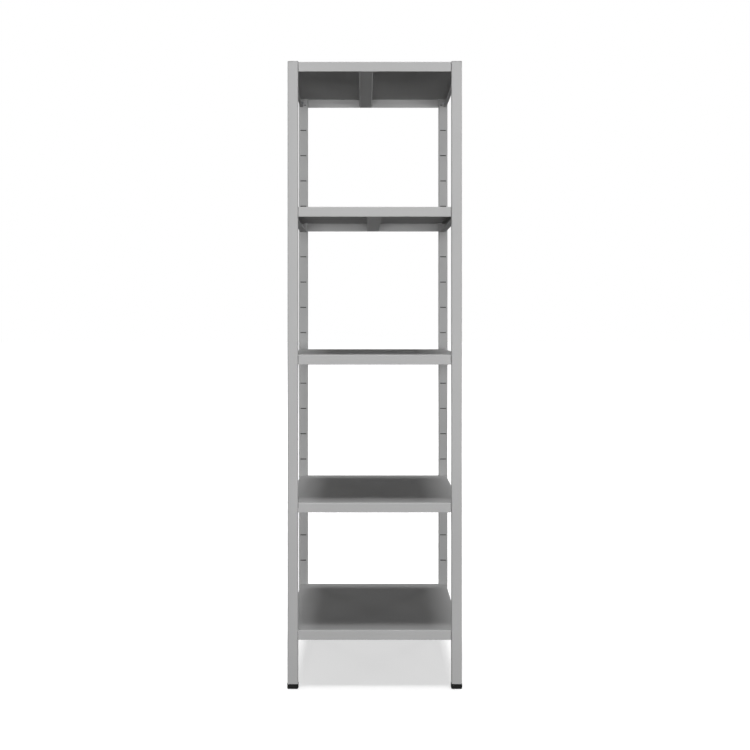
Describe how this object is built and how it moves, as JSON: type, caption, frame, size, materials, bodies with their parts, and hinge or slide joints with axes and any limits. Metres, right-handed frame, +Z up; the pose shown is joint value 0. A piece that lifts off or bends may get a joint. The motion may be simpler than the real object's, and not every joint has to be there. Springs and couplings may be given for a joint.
{
  "type": "shelving unit",
  "caption": "Free-standing painted steel shelving unit with slotted oblong posts, folded sheet shelves on side rails, and plastic feet and post caps.",
  "frame": {"origin": "on the floor, at the middle of the unit's width and depth", "axes": "+Z up along the posts, +X to the right seen from the front, front of the unit towards -Y"},
  "size_m": [0.502, 0.402, 1.8],
  "materials": {
    "painted_steel": "powder coated, satin light grey",
    "grey_plastic": "moulded, fine matt grain",
    "black_plastic": "moulded, fine matt grain",
    "zinc_steel": "zinc plated"
  },
  "bodies": {
    "root": {"front_left_post": "painted_steel", "front_right_post": "painted_steel", "rear_left_post": "painted_steel", "rear_right_post": "painted_steel", "front_left_cap": "grey_plastic", "front_right_cap": "grey_plastic", "rear_left_cap": "grey_plastic", "rear_right_cap": "grey_plastic", "front_left_foot": "black_plastic", "front_right_foot": "black_plastic", "rear_left_foot": "black_plastic", "rear_right_foot": "black_plastic", "top_shelf": "painted_steel", "top_shelf_stiffener": "painted_steel", "top_shelf_cross_rail_left": "painted_steel", "top_shelf_cross_rail_right": "painted_steel", "top_shelf_screw_front_left": "zinc_steel", "top_shelf_screw_front_right": "zinc_steel", "top_shelf_screw_rear_left": "zinc_steel", "top_shelf_screw_rear_right": "zinc_steel", "upper_shelf": "painted_steel", "upper_shelf_stiffener": "painted_steel", "upper_shelf_support_left": "painted_steel", "upper_shelf_support_right": "painted_steel", "middle_shelf": "painted_steel", "middle_shelf_stiffener": "painted_steel", "middle_shelf_support_left": "painted_steel", "middle_shelf_support_right": "painted_steel", "lower_shelf": "painted_steel", "lower_shelf_stiffener": "painted_steel", "lower_shelf_support_left": "painted_steel", "lower_shelf_support_right": "painted_steel", "bottom_shelf": "painted_steel", "bottom_shelf_stiffener": "painted_steel", "bottom_shelf_cross_rail_left": "painted_steel", "bottom_shelf_cross_rail_right": "painted_steel", "bottom_shelf_screw_front_left": "zinc_steel", "bottom_shelf_screw_front_right": "zinc_steel", "bottom_shelf_screw_rear_left": "zinc_steel", "bottom_shelf_screw_rear_right": "zinc_steel"}
  },
  "joints": []
}
